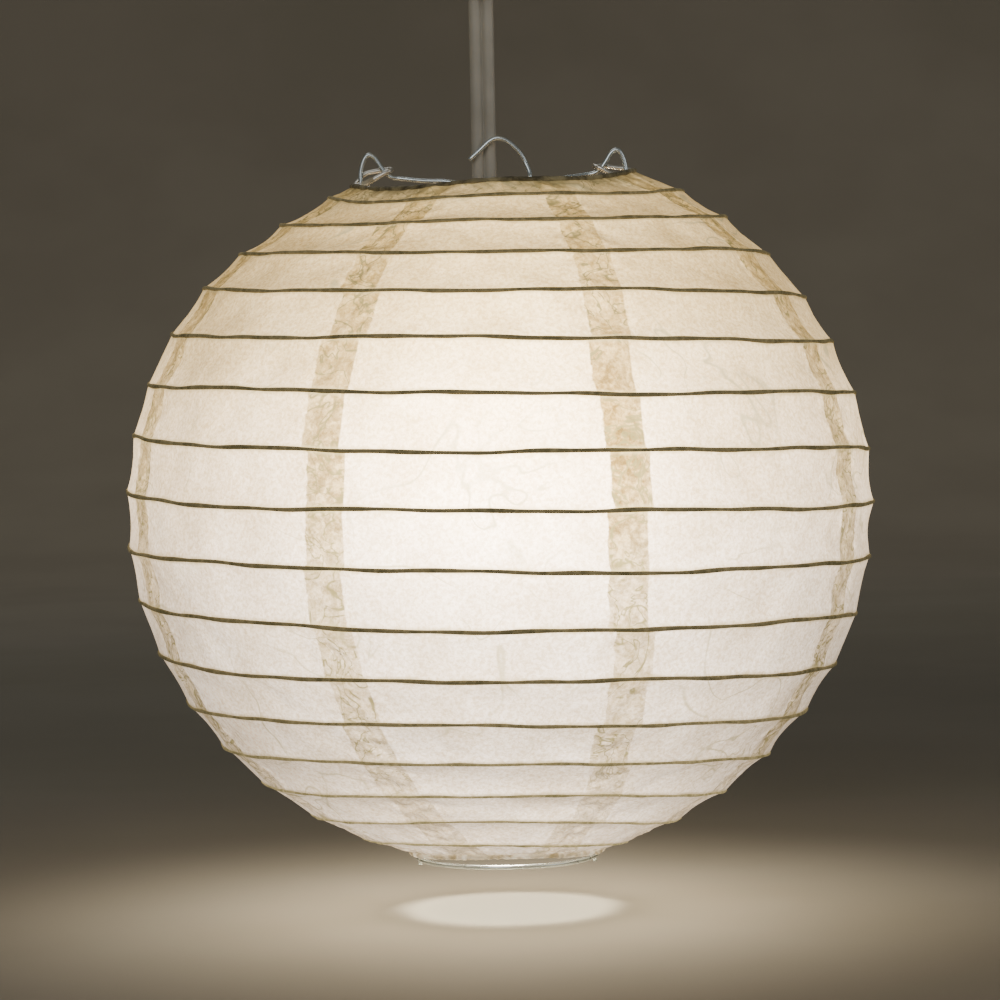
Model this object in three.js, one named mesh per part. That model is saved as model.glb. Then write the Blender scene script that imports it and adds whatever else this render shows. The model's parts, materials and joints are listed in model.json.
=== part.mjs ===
// An 8 inch round paper lantern on a flat lamp cord, in millimetres, +Z up.
// The origin is the middle of the ceiling fitting's top face; every height below is stated from
// the shade's widest point, and the whole lantern is then lowered by MOUNT_HEIGHT.
// The front of the lantern looks along -Y and +X is to the right.
import * as THREE from "three";

// ---- driving dimensions ----
const MOUNT_HEIGHT = 166; // ceiling face above the shade's widest point
const SHADE_RADIUS = 101.5; // the shade is an ellipsoid, open at both ends
const SHADE_HALF_HEIGHT = 97.6;
const TOP_RING_Z = 90.4;
const BOTTOM_RING_Z = -94.4;
const RIB_PITCH = 14.6; // along the shade's surface, one turn of the bamboo to the next
const PITCH_GROWTH = 0.027; // half of what each turn's pitch gains on the one above it
const RIB_START = 7; // degrees from +X towards +Y, where every turn begins
const RIB_TURNS = 16; // whole turns; a part turn follows at the bottom
const RING_MARGIN = 0.14; // share of a turn that each ring and its hem take up
const LAST_TURN_SHARE = 0.22; // the bamboo's tail, below the last whole turn
const TOP_DROP = 1.5; // how far the top hangs below an even shade at its left and right
const TOP_LEAN = 0.036; // slope of the top ring, up to the right
const TOP_SLACK = 2.1; // how much lower the top is at the front and back than at the sides
const TOP_DIP = 1.4; // how far the top ring dips between its ears and its front and back
const BOTTOM_SLACK = 4.1; // how much higher the lowest turns are at the front and back
const BOTTOM_RING_SHARE = 0.4; // of that rise, what is left at the stiffer bottom ring
const RIB_DIAMETER = 1.2;
const SEGMENTS = 30; // of every ring, turn and band round the shade's axis
const PAPER_CLEARANCE = 1.3; // from a rib's centre line out to the paper
const PAPER_THICKNESS = 0.5;
const GAP = 0.3; // between pieces that touch
const WIRE_DIAMETER = 1.3;
const WIRE_SIDES = 6;
const EAR_TIP_X = 27.6;
const EAR_TIP_Z = 91.9;
const EAR_ROOT_Z = 89.9;
const EAR_RISE = 1.4; // how much higher an ear's back wire is than its middle, beside the ring
const EAR_HALF_WIDTH = 2.2;
const BAR_Z = 88.2;
const BAR_FRONT_Y = -3.1; // the bar passes in front of the cord
const LEG_X = 24;
const BASE_RADIUS = 24.5;
const BASE_Z = -96;
const CORD_X = -2.4;
const CORD_WIDTH = 6.8;
const CORD_THICKNESS = 3.4;
const CORD_BOTTOM = 86;
const CORD_TOP = 139.5;
const SOCKET_RADIUS = 14;
const BULB_RADIUS = 20;
const BULB_Z = 8;
const ROSE_RADIUS = 27;

// ---- finishes ----
const finish = (color, roughness, metalness) =>
  new THREE.MeshStandardMaterial({ color, roughness, metalness });
const PAPER = finish(0xece2d2, 0.9, 0);
const PAPER_EDGE = finish(0xcdbd9c, 0.9, 0);
const BAMBOO = finish(0x7a6c45, 0.7, 0);
const STEEL = finish(0x9aa0a6, 0.35, 1);
const PLASTIC = finish(0xe8e6e0, 0.45, 0);
const CORD_PLASTIC = finish(0xb5b1a8, 0.5, 0);
const BRASS = finish(0xb8975a, 0.35, 1);
const GLASS = finish(0xfff6e4, 0.25, 0);

const lantern = new THREE.Group();
lantern.position.z = -MOUNT_HEIGHT;

const radians = THREE.MathUtils.degToRad;
const point = (x, y, z) => new THREE.Vector3(x, y, z);
const number = (n) => String(n).padStart(2, "0");

function add(name, geometry, material, parent = lantern) {
  const mesh = new THREE.Mesh(geometry, material);
  mesh.name = name;
  parent.add(mesh);
  return mesh;
}

// ---- shapes ----

// A curve that an extrusion samples at its own points, so that bends can be finer than runs.
class WireCurve extends THREE.CatmullRomCurve3 {
  getUtoTmapping(u) {
    return u;
  }
}

function section(radius, sides) {
  const outline = new THREE.Shape();
  for (let i = 0; i < sides; i++) {
    const angle = (2 * Math.PI * (i + 0.5)) / sides;
    const corner = [radius * Math.cos(angle), radius * Math.sin(angle)];
    if (i === 0) outline.moveTo(...corner);
    else outline.lineTo(...corner);
  }
  outline.closePath();
  return outline;
}

function wire(points, diameter = WIRE_DIAMETER, sides = WIRE_SIDES) {
  return new THREE.ExtrudeGeometry(section(diameter / 2, sides), {
    steps: points.length - 1,
    extrudePath: new WireCurve(points),
    bevelEnabled: false,
  });
}

// A turned piece about the Z axis, from [radius, height] corners, listed so that faces point out.
function turned(corners, segments = SEGMENTS) {
  const profile = corners.map(([r, z]) => new THREE.Vector2(r, z));
  const start = radians(RIB_START + 90);
  return new THREE.LatheGeometry(profile, segments, start, 2 * Math.PI).rotateX(Math.PI / 2);
}

// A turned ring of a closed outline.
const turnedRing = (corners, segments) => turned([...corners, corners[0]], segments);

const tube = (inner, outer, low, high, segments) =>
  turnedRing(
    [
      [inner, low],
      [outer, low],
      [outer, high],
      [inner, high],
    ],
    segments,
  );

function arc(radius, from, to, steps, z) {
  const points = [];
  for (let i = 0; i <= steps; i++) {
    const angle = radians(from + ((to - from) * i) / steps);
    points.push(point(radius * Math.cos(angle), radius * Math.sin(angle), z));
  }
  return points;
}

// ---- the shade's surface ----

// Points down the shade's meridian at equal angles of the ellipse, with the length run so far.
function meridianTable() {
  const steps = 2000;
  const first = Math.asin(TOP_RING_Z / SHADE_HALF_HEIGHT);
  const last = Math.asin(BOTTOM_RING_Z / SHADE_HALF_HEIGHT);
  const rows = [];
  for (let i = 0; i <= steps; i++) {
    const angle = first + ((last - first) * i) / steps;
    const r = SHADE_RADIUS * Math.cos(angle);
    const z = SHADE_HALF_HEIGHT * Math.sin(angle);
    const before = rows[i - 1];
    const run = before ? before.run + Math.hypot(r - before.r, z - before.z) : 0;
    rows.push({ angle, r, z, run });
  }
  return rows;
}
const MERIDIAN = meridianTable();

// How much higher than an even shade a place hangs. The expander pushes the rings apart at the
// left and right only, so the shade is less tall at its front and back, and the top leans.
// The ears pull the top ring up at its left and right, and it dips on both sides of them.
function settle(x, y, z) {
  const step = THREE.MathUtils.smoothstep;
  const nearRing = step(-z, 86, -BOTTOM_RING_Z);
  const bottomRise = BOTTOM_SLACK * (1 - (1 - BOTTOM_RING_SHARE) * nearRing);
  const rise = bottomRise * step(-z, 25, 80) - TOP_SLACK * step(z, 45, 95);
  const lean = (TOP_LEAN * x - TOP_DROP) * step(z, 55, 92);
  const squared = x * x + y * y;
  const dip = TOP_DIP * ((2 * x * y) / squared) ** 2 * step(z, 70, 92);
  return (rise * y * y) / squared + lean - dip;
}

function settled(geometry) {
  const place = geometry.attributes.position;
  for (let i = 0; i < place.count; i++) {
    const z = place.getZ(i);
    place.setZ(i, z + settle(place.getX(i), place.getY(i), z));
  }
  return geometry;
}

// The shade's radius, height and outward normal a number of turns down from the top ring.
function shadeAt(turns) {
  const run = turns * RIB_PITCH + turns * turns * PITCH_GROWTH;
  const row = MERIDIAN.find((m) => m.run >= run) ?? MERIDIAN.at(-1);
  const nr = Math.cos(row.angle) / SHADE_RADIUS;
  const nz = Math.sin(row.angle) / SHADE_HALF_HEIGHT;
  const length = Math.hypot(nr, nz);
  return { r: row.r, z: row.z, nr: nr / length, nz: nz / length };
}

function ribPoint(turns) {
  const angle = radians(RIB_START + 360 * turns);
  const { r, z } = shadeAt(turns);
  const x = r * Math.cos(angle);
  const y = r * Math.sin(angle);
  return point(x, y, z + settle(x, y, z));
}

// The bamboo is one left-handed coil. Each turn of it is a piece, so that the shade can fold.
function ribTurn(from, to) {
  const endGap = GAP / 2 / (2 * Math.PI * shadeAt(from).r);
  const points = [ribPoint(from + endGap)];
  const steps = Math.round((to - from) * SEGMENTS);
  for (let i = 1; i < steps; i++) points.push(ribPoint(from + i / SEGMENTS));
  points.push(ribPoint(to - endGap));
  return wire(points, RIB_DIAMETER);
}

// A band of paper just outside the bamboo, through the given places down the meridian.
function paperBand(...turns) {
  const cut = GAP / 2 / RIB_PITCH;
  const last = turns.length - 1;
  const places = turns.map((t, i) => t + (i === 0 ? cut : 0) - (i === last ? cut : 0));
  const side = (clearance) =>
    places.map((t) => {
      const s = shadeAt(t);
      return [s.r + s.nr * clearance, s.z + s.nz * clearance];
    });
  const outside = side(PAPER_CLEARANCE + PAPER_THICKNESS).reverse();
  return settled(turnedRing([...outside, ...side(PAPER_CLEARANCE)]));
}

function makeShade() {
  const lastRun = MERIDIAN.at(-1).run;
  const root = Math.sqrt(RIB_PITCH * RIB_PITCH + 4 * PITCH_GROWTH * lastRun);
  const bottomEdge = (root - RIB_PITCH) / (2 * PITCH_GROWTH) - RING_MARGIN;
  for (let turn = 1; turn <= RIB_TURNS; turn++) {
    const from = turn === 1 ? RING_MARGIN : turn - 1;
    add("rib_turn_" + number(turn), ribTurn(from, turn), BAMBOO);
    const ends = turn === RIB_TURNS ? [RIB_TURNS, bottomEdge] : [turn + 0.5];
    add("paper_band_" + number(turn), paperBand(turn - 0.5, ...ends), PAPER);
  }
  add("rib_tail", ribTurn(RIB_TURNS, RIB_TURNS + LAST_TURN_SHARE), BAMBOO);
  add("paper_top_collar", paperBand(RING_MARGIN, 0.5), PAPER);
}

// ---- the rings ----

// The top ring's wire runs round the opening and makes a narrow loop inwards, an ear, on each side.
function makeRings() {
  const topRadius = shadeAt(0).r;
  const bottomRadius = MERIDIAN.at(-1).r;
  const earAngle = 5;
  const tipRise = EAR_RISE * 0.35;
  const ringEdge = (side) => TOP_RING_Z + settle(side * topRadius, 0, TOP_RING_Z);
  const ear = (side, turnsFrom) => {
    const wires = [
      [topRadius - 1.6, (ringEdge(side) + EAR_ROOT_Z) / 2, EAR_RISE * 0.6],
      [topRadius - 4, EAR_ROOT_Z, EAR_RISE],
      [EAR_TIP_X + 1.6, EAR_TIP_Z - 0.3, tipRise],
    ];
    const half = (way) =>
      wires.map(([x, z, rise]) => point(side * x, way * EAR_HALF_WIDTH, z + way * rise));
    const bend = [
      point(side * (EAR_TIP_X + 0.4), turnsFrom * 1.4, EAR_TIP_Z + turnsFrom * tipRise * 0.6),
      point(side * EAR_TIP_X, 0, EAR_TIP_Z),
      point(side * (EAR_TIP_X + 0.4), -turnsFrom * 1.4, EAR_TIP_Z - turnsFrom * tipRise * 0.6),
    ];
    return [...half(turnsFrom), ...bend, ...half(-turnsFrom).reverse()];
  };
  const backGap = (GAP / 2 / topRadius) * (180 / Math.PI);
  const ringArc = (radius, from, to, steps, z) => {
    const points = arc(radius, from, to, steps, z);
    for (const p of points) p.z += settle(p.x, p.y, z);
    return points;
  };
  const path = [
    ...ringArc(topRadius, 90 + backGap, 180 - earAngle, 7, TOP_RING_Z),
    ...ear(-1, 1),
    ...ringArc(topRadius, 180 + earAngle, 360 - earAngle, 14, TOP_RING_Z),
    ...ear(1, -1),
    ...ringArc(topRadius, 360 + earAngle, 450 - backGap, 7, TOP_RING_Z),
  ];
  add("top_ring", wire(path), STEEL);
  const gapAngle = (GAP / 2 / bottomRadius) * (180 / Math.PI);
  const loop = ringArc(bottomRadius, 90 + gapAngle, 450 - gapAngle, 28, BOTTOM_RING_Z);
  add("bottom_ring", wire(loop), STEEL);

  const hemInner = WIRE_DIAMETER / 2 + GAP + 0.05;
  const hem = (radius, low, high) =>
    settled(tube(radius + hemInner, radius + hemInner + PAPER_THICKNESS, low, high));
  add("top_hem", hem(topRadius, TOP_RING_Z - 1.5, TOP_RING_Z + 0.9), PAPER_EDGE);
  add("bottom_hem", hem(bottomRadius, BOTTOM_RING_Z - 0.9, BOTTOM_RING_Z + 1.4), PAPER_EDGE);

  // a twist of tape on each ear's front wire, beside the ring
  for (const [name, side] of [
    ["ear_wrap_left", -1],
    ["ear_wrap_right", 1],
  ]) {
    const sleeve = tube(WIRE_DIAMETER / 2 + GAP, WIRE_DIAMETER / 2 + GAP + 0.5, -1.2, 1.2, 10);
    const wrap = add(name, sleeve, PAPER_EDGE);
    const from = point(side * (topRadius - 4), -EAR_HALF_WIDTH, EAR_ROOT_Z - EAR_RISE);
    const to = point(side * (EAR_TIP_X + 1.6), -EAR_HALF_WIDTH, EAR_TIP_Z - 0.3 - tipRise);
    wrap.position.copy(from).lerp(to, 0.35);
    wrap.quaternion.setFromUnitVectors(point(0, 0, 1), to.clone().sub(from).normalize());
  }
}

// ---- the spring wire that holds the shade open ----

// One wire: half the bar, an arch up through the ear, a leg, the base under the bottom ring,
// and back up the other side to the bar. Its ends meet inside the hook's coil, where it sags.
const COIL_X = 7.2;
const COIL_Z = 86.8;

function makeExpander() {
  const sideDown = (side) => [
    point(side * 19, -1.2, BAR_Z + 0.5),
    point(side * 25, 0, BAR_Z + 1.3),
    point(side * 27.6, 0, BAR_Z + 1.7),
    point(side * 29.4, 0, BAR_Z + 3),
    point(side * 30.9, 0, BAR_Z + 5.1),
    point(side * 32.2, 0, BAR_Z + 7.1),
    point(side * 33.6, 0, BAR_Z + 7.9),
    point(side * 34.7, 0, BAR_Z + 7.2),
    point(side * 35.7, 0, BAR_Z + 4.8),
    point(side * 36.1, 0, BAR_Z + 1.2),
    point(side * 35, 0, BAR_Z - 5),
    point(side * 30.5, 0, BAR_Z - 17),
    point(side * 26, 0, BAR_Z - 29),
    point(side * (LEG_X + 0.4), 0, BAR_Z - 36),
    point(side * LEG_X, 0, BAR_Z - 42),
    point(side * LEG_X, 0, 0),
    point(side * LEG_X, 0, BOTTOM_RING_Z + 4),
    point(side * LEG_X, 0, BOTTOM_RING_Z),
    point(side * (LEG_X + 0.3), -0.5, BASE_Z + 0.9),
  ];
  const path = [
    point(COIL_X + GAP / 2, BAR_FRONT_Y, COIL_Z),
    point(COIL_X + 3, BAR_FRONT_Y, COIL_Z),
    point(14, -2.4, BAR_Z - 0.6),
    ...sideDown(1),
    ...arc(BASE_RADIUS, -5, -175, 12, BASE_Z),
    ...sideDown(-1).reverse(),
    point(-13, -2.4, BAR_Z + 0.2),
    point(-8, BAR_FRONT_Y, BAR_Z - 0.5),
    point(COIL_X - 3, BAR_FRONT_Y, COIL_Z),
    point(COIL_X - GAP / 2, BAR_FRONT_Y, COIL_Z),
  ];
  add("expander_frame", wire(path), STEEL);
}

// The hook is wound on the bar's middle, rises beside the cord and curls over in front of it.
function makeHook() {
  const coilRadius = WIRE_DIAMETER + GAP;
  const coilTurns = 2.5;
  const stepsPerTurn = 10;
  const coilStart = COIL_X - 2;
  const coilPitch = WIRE_DIAMETER + 0.25;
  const points = [];
  for (let i = 0; i <= coilTurns * stepsPerTurn; i++) {
    const turn = i / stepsPerTurn;
    const angle = 2 * Math.PI * turn - Math.PI / 2;
    points.push(
      point(
        coilStart + coilPitch * turn,
        BAR_FRONT_Y + coilRadius * Math.cos(angle),
        COIL_Z + coilRadius * Math.sin(angle),
      ),
    );
  }
  const curl = [
    [2.6, -1.1, 2],
    [2.7, -0.6, 3.4],
    [1.7, 0, 6],
    [0.6, 0, 8.2],
    [-0.8, 0, 10],
    [-3.2, 0, 12.1],
    [-5.7, 0, 13],
    [-8, 0, 12.2],
    [-10.8, 0, 9.7],
    [-13.4, 0, 7.4],
  ];
  for (const [dx, dy, dz] of curl) {
    points.push(point(COIL_X + dx, BAR_FRONT_Y + dy, COIL_Z + dz));
  }
  add("hanging_hook", wire(points), STEEL);
}

// ---- the lamp ----

// A flat cord of two cores, side by side.
function cordOutline() {
  const half = CORD_WIDTH / 2;
  const core = CORD_THICKNESS / 2;
  const outline = new THREE.Shape();
  const waist = core * 0.55;
  const corners = [
    [half, 0],
    [half - core * 0.4, core * 0.85],
    [half - core, core],
    [0, waist],
    [-half + core, core],
    [-half + core * 0.4, core * 0.85],
    [-half, 0],
    [-half + core * 0.4, -core * 0.85],
    [-half + core, -core],
    [0, -waist],
    [half - core, -core],
    [half - core * 0.4, -core * 0.85],
  ];
  corners.forEach(([x, y], i) => (i ? outline.lineTo(x, y) : outline.moveTo(x, y)));
  outline.closePath();
  return outline;
}

function makeLamp() {
  const lamp = new THREE.Group();
  lamp.position.x = CORD_X;
  lantern.add(lamp);
  const cord = new THREE.ExtrudeGeometry(cordOutline(), {
    depth: CORD_TOP - CORD_BOTTOM,
    steps: 4,
    bevelEnabled: false,
  });
  cord.translate(0, 0, CORD_BOTTOM);
  add("lamp_cord", cord, CORD_PLASTIC, lamp);

  const capTop = 66;
  const relief = turned(
    [
      [0, capTop + GAP],
      [5.5, capTop + GAP],
      [5.5, capTop + 3],
      [4.3, capTop + 4],
      [3.6, CORD_BOTTOM - GAP],
      [0, CORD_BOTTOM - GAP],
    ],
    16,
  );
  add("strain_relief", relief, PLASTIC, lamp);

  const shellTop = 58;
  const shellBottom = 28;
  const cap = turned(
    [
      [0, shellTop + GAP],
      [SOCKET_RADIUS, shellTop + GAP],
      [SOCKET_RADIUS, shellTop + 3],
      [SOCKET_RADIUS - 2, shellTop + 6],
      [SOCKET_RADIUS - 6, capTop],
      [0, capTop],
    ],
    20,
  );
  add("socket_cap", cap, PLASTIC, lamp);
  const wall = 3.5;
  const shell = turned(
    [
      [0, shellTop - 3],
      [SOCKET_RADIUS - wall, shellTop - 3],
      [SOCKET_RADIUS - wall, shellBottom],
      [SOCKET_RADIUS - 1, shellBottom],
      [SOCKET_RADIUS, shellBottom + 1],
      [SOCKET_RADIUS, shellTop],
      [0, shellTop],
    ],
    20,
  );
  add("socket_shell", shell, PLASTIC, lamp);
  add("socket_thread", tube(7.4, 8.2, shellBottom + 6, shellTop - 4, 20), BRASS, lamp);
  const spring = turned(
    [
      [0, 51.8],
      [2.5, 52.2],
      [2.5, shellTop - 3 - GAP],
      [0, shellTop - 3 - GAP],
    ],
    10,
  );
  add("socket_contact", spring, BRASS, lamp);

  const baseTop = 49;
  const baseBottom = 32;
  const base = turned(
    [
      [0, baseBottom],
      [6.6, baseBottom],
      [6.9, baseBottom + 3],
      [6.9, baseTop - 2],
      [5, baseTop],
      [0, baseTop],
    ],
    16,
  );
  add("bulb_base", base, BRASS, lamp);
  const tip = turned(
    [
      [0, baseTop + GAP],
      [2.6, baseTop + GAP],
      [1.8, baseTop + 2],
      [0, baseTop + 2.4],
    ],
    10,
  );
  add("bulb_tip", tip, BRASS, lamp);

  // the globe runs into a short neck under the screw base
  const neckRadius = 6.6;
  const glass = [];
  const neckAngle = Math.acos(neckRadius / BULB_RADIUS);
  const steps = 8;
  for (let i = 0; i <= steps; i++) {
    const angle = -Math.PI / 2 + ((Math.PI / 2 + neckAngle) * i) / steps;
    glass.push([BULB_RADIUS * Math.cos(angle), BULB_Z + BULB_RADIUS * Math.sin(angle)]);
  }
  glass[0][0] = 0;
  glass.push([neckRadius, baseBottom - GAP], [0, baseBottom - GAP]);
  add("bulb_glass", turned(glass, 20), GLASS, lamp);
}

// ---- the ceiling fitting ----

function makeCeilingFitting() {
  const plateThickness = 2.5;
  const plateRadius = ROSE_RADIUS - 3;
  const plateBottom = MOUNT_HEIGHT - plateThickness;
  const plate = new THREE.CylinderGeometry(plateRadius, plateRadius, plateThickness, 24);
  plate.rotateX(Math.PI / 2);
  plate.translate(0, 0, plateBottom + plateThickness / 2);
  add("ceiling_plate", plate, PLASTIC);
  const roseBottom = 147.8;
  const cover = turnedRing(
    [
      [6, roseBottom],
      [16, roseBottom + 1.2],
      [ROSE_RADIUS - 3, roseBottom + 5],
      [ROSE_RADIUS, roseBottom + 11],
      [ROSE_RADIUS, MOUNT_HEIGHT],
      [ROSE_RADIUS - 2, MOUNT_HEIGHT],
      [ROSE_RADIUS - 2, roseBottom + 11.6],
      [ROSE_RADIUS - 5, roseBottom + 7],
      [15, roseBottom + 3.2],
      [6, roseBottom + 2.2],
    ],
    24,
  );
  add("rose_cover", cover, PLASTIC);
  // the cord's end sits in the grip's mouth, with room to swing
  const gripMouth = CORD_TOP - 1;
  const grip = turned(
    [
      [0, CORD_TOP + 1.2],
      [4.3, CORD_TOP + 1.2],
      [4.7, gripMouth],
      [5.5, gripMouth],
      [6.6, roseBottom - GAP],
      [0, roseBottom - GAP],
    ],
    16,
  );
  add("cord_grip", grip, PLASTIC).position.x = CORD_X;
  const screwTop = plateBottom - GAP;
  for (const [name, x] of [
    ["rose_screw_left", -15],
    ["rose_screw_right", 15],
  ]) {
    const screw = turned(
      [
        [0, screwTop - 2.2],
        [2.2, screwTop - 2],
        [3.4, screwTop],
        [0, screwTop],
      ],
      10,
    );
    add(name, screw, STEEL).position.x = x;
  }
  const block = new THREE.BoxGeometry(14, 8, 7);
  add("terminal_block", block, PLASTIC).position.z = plateBottom - GAP - 3.5;
}

makeShade();
makeRings();
makeExpander();
makeHook();
makeLamp();
makeCeilingFitting();

export default lantern;
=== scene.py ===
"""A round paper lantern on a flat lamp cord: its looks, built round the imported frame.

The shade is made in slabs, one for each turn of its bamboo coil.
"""

import json
import math

import bpy
import numpy as np
from mathutils import Matrix, Vector, noise

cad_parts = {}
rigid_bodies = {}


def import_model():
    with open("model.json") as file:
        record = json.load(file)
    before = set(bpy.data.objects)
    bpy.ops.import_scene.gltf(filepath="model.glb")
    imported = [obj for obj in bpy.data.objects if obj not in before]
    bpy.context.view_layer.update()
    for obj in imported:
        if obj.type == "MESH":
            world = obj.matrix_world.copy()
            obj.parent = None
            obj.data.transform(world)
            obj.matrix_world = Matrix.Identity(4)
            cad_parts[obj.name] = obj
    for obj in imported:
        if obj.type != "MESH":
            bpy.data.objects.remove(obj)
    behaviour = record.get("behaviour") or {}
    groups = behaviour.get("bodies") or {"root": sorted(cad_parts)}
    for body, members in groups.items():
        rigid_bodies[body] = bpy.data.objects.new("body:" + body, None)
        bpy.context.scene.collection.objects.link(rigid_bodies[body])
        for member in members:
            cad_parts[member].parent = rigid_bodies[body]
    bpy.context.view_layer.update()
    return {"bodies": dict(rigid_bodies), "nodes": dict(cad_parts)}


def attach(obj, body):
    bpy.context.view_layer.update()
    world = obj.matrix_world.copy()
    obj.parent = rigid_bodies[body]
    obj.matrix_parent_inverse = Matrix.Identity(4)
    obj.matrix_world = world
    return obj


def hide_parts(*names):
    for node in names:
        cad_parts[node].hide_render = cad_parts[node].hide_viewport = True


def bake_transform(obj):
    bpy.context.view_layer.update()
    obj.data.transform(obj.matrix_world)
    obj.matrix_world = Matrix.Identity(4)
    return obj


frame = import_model()

# ---- driving dimensions, in millimetres from the shade's widest point ----
MM = 0.001
MOUNT_HEIGHT = 166.0
SHADE_RADIUS = 101.5
SHADE_HALF_HEIGHT = 97.6
TOP_RING_Z = 90.4
BOTTOM_RING_Z = -94.4
RIB_PITCH = 14.6  # along the surface, with each turn's pitch a little more than the last
PITCH_GROWTH = 0.027
RIB_START = 7.0
RIB_TURNS = 16
RIB_RADIUS = 0.55
RING_MARGIN = 0.14
TAIL = 0.22
TOP_DROP = 1.5  # how far the top hangs below an even shade at its left and right
TOP_SLACK = 2.1  # how much lower again its front and back are
TOP_DIP = 1.4  # how far the top ring dips between its ears and its front and back
BOTTOM_SLACK = 4.1  # how much higher the lowest turns are at the front and back
BOTTOM_RING_SHARE = 0.4
TOP_LEAN = 0.036  # slope of the top ring, up to the right
PAPER_THICKNESS = 0.22
WIRE_RADIUS = 0.62
BAR_Z = 88.2
BAR_FRONT_Y = -3.1
EAR_TIP_X = 27.6
EAR_TIP_Z = 91.9
EAR_ROOT_Z = 89.9
EAR_HALF_WIDTH = 2.2
EAR_RISE = 1.4
TIP_RISE = EAR_RISE * 0.35
LEG_X = 24.0
BASE_RADIUS = 24.5
BASE_Z = -96.0
COIL_X = 7.2
COIL_Z = 86.8
CORD_X = -2.4
CORD_WIDTH = 6.8
CORD_THICKNESS = 3.4
CORD_BOTTOM = 86.0
CORD_TOP = 139.5
BULB_RADIUS = 20.0
BULB_Z = 8.0
SOCKET_RADIUS = 14.0
ROSE_RADIUS = 27.0
ROSE_BOTTOM = 147.8

# seams, where one sheet of paper is pasted over the edge of the next, each as its azimuths in
# degrees at the top, the middle and the bottom
SEAMS = [
    (17.5, 17.7, 20.8),
    (62.0, 62.2, 65.3),
    (108.5, 108.7, 111.8),
    (153.0, 153.2, 156.3),
    (200.0, 200.2, 203.0),
    (245.4, 243.9, 246.0),
    (290.8, 288.6, 294.6),
    (333.6, 334.6, 338.0),
]
SEAM_WIDTH = 10.6

# painted glow: the bulb's light through the paper, painted as an emission of these strengths
GLOW = 31.5  # of the paper's outside away from the bulb, before the coat takes its share
GLOW_Z = 14.0
HOT_GLOW = 1.4  # how much more the paper glows where the bulb shows through it
INSIDE_GLOW = 0.03

COLUMNS = 400
ROWS_PER_TURN = 14


def at(x, y, z):
    """A place given in millimetres from the shade's widest point, in the frame's metres."""
    return Vector((x * MM, y * MM, (z - MOUNT_HEIGHT) * MM))


# ---- camera and studio ----

EYE_HEIGHT = 43.7
EYE_DISTANCE = 1010.0
AIM_HEIGHT = 1.4
LENS_ROLL = 1.2


def make_camera():
    data = bpy.data.cameras.new("camera")
    data.lens = 133.2
    data.sensor_width = 36.0
    data.clip_start = 0.01
    camera = bpy.data.objects.new("camera", data)
    bpy.context.scene.collection.objects.link(camera)
    drop = math.atan2(EYE_HEIGHT - AIM_HEIGHT, EYE_DISTANCE)
    tilt = Matrix.Rotation(math.pi / 2 - drop, 4, "X")
    roll = Matrix.Rotation(-math.radians(LENS_ROLL), 4, "Z")
    camera.matrix_world = Matrix.Translation(at(0, -EYE_DISTANCE, EYE_HEIGHT)) @ tilt @ roll
    bpy.context.scene.camera = camera


make_camera()

# ---- materials ----


class Nodes:
    """Builds one node material around its Principled shader."""

    def __init__(self, name, **values):
        self.material = bpy.data.materials.new(name)
        self.material.use_nodes = True
        self.tree = self.material.node_tree
        self.shader = self.tree.nodes["Principled BSDF"]
        for socket, value in values.items():
            self.shader.inputs[socket.replace("_", " ")].default_value = value
        self.place = self.tree.nodes.new("ShaderNodeTexCoord").outputs["Object"]

    def link(self, source, target):
        if isinstance(source, (int, float, tuple)):
            target.default_value = source
        else:
            self.tree.links.new(source, target)

    def noise(self, scale, detail=4.0, distortion=0.0, roughness=0.55):
        node = self.tree.nodes.new("ShaderNodeTexNoise")
        node.inputs["Scale"].default_value = scale
        node.inputs["Detail"].default_value = detail
        node.inputs["Distortion"].default_value = distortion
        node.inputs["Roughness"].default_value = roughness
        self.link(self.place, node.inputs["Vector"])
        return node.outputs["Fac"]

    def distance(self, kept):
        """How far each place is from the mount along the kept axes, in metres."""
        flat = self.tree.nodes.new("ShaderNodeMapping")
        flat.inputs["Scale"].default_value = kept
        self.link(self.place, flat.inputs["Vector"])
        node = self.tree.nodes.new("ShaderNodeVectorMath")
        node.operation = "LENGTH"
        self.link(flat.outputs["Vector"], node.inputs[0])
        return node.outputs["Value"]

    def attribute(self, name):
        node = self.tree.nodes.new("ShaderNodeAttribute")
        node.attribute_name = name
        return node.outputs["Fac"]

    def math(self, operation, *values):
        node = self.tree.nodes.new("ShaderNodeMath")
        node.operation = operation
        for value, socket in zip(values, node.inputs):
            self.link(value, socket)
        return node.outputs[0]

    def ramp(self, value, low, high, start=0.0, end=1.0):
        """value between low and high, as start to end, held flat outside."""
        node = self.tree.nodes.new("ShaderNodeMapRange")
        node.interpolation_type = "SMOOTHSTEP"
        for socket, number in zip(node.inputs, (value, low, high, start, end)):
            self.link(number, socket)
        return node.outputs[0]

    def mix(self, share, first, second, blend="MIX"):
        node = self.tree.nodes.new("ShaderNodeMix")
        node.data_type = "RGBA"
        node.blend_type = blend
        self.link(share, node.inputs["Factor"])
        self.link(first, node.inputs[6])
        self.link(second, node.inputs[7])
        return node.outputs[2]

    def bump(self, height, strength, distance):
        node = self.tree.nodes.new("ShaderNodeBump")
        node.inputs["Strength"].default_value = strength
        node.inputs["Distance"].default_value = distance
        self.link(height, node.inputs["Height"])
        self.link(node.outputs["Normal"], self.shader.inputs["Normal"])

    def colour(self, source, emission=False):
        self.link(source, self.shader.inputs["Base Color"])
        if emission:
            self.link(source, self.shader.inputs["Emission Color"])


def rgb(red, green, blue):
    """A colour from its display values, 0 to 255, as the linear values that shaders use."""
    return tuple(((v / 255 + 0.055) / 1.055) ** 2.4 for v in (red, green, blue)) + (1.0,)


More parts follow.
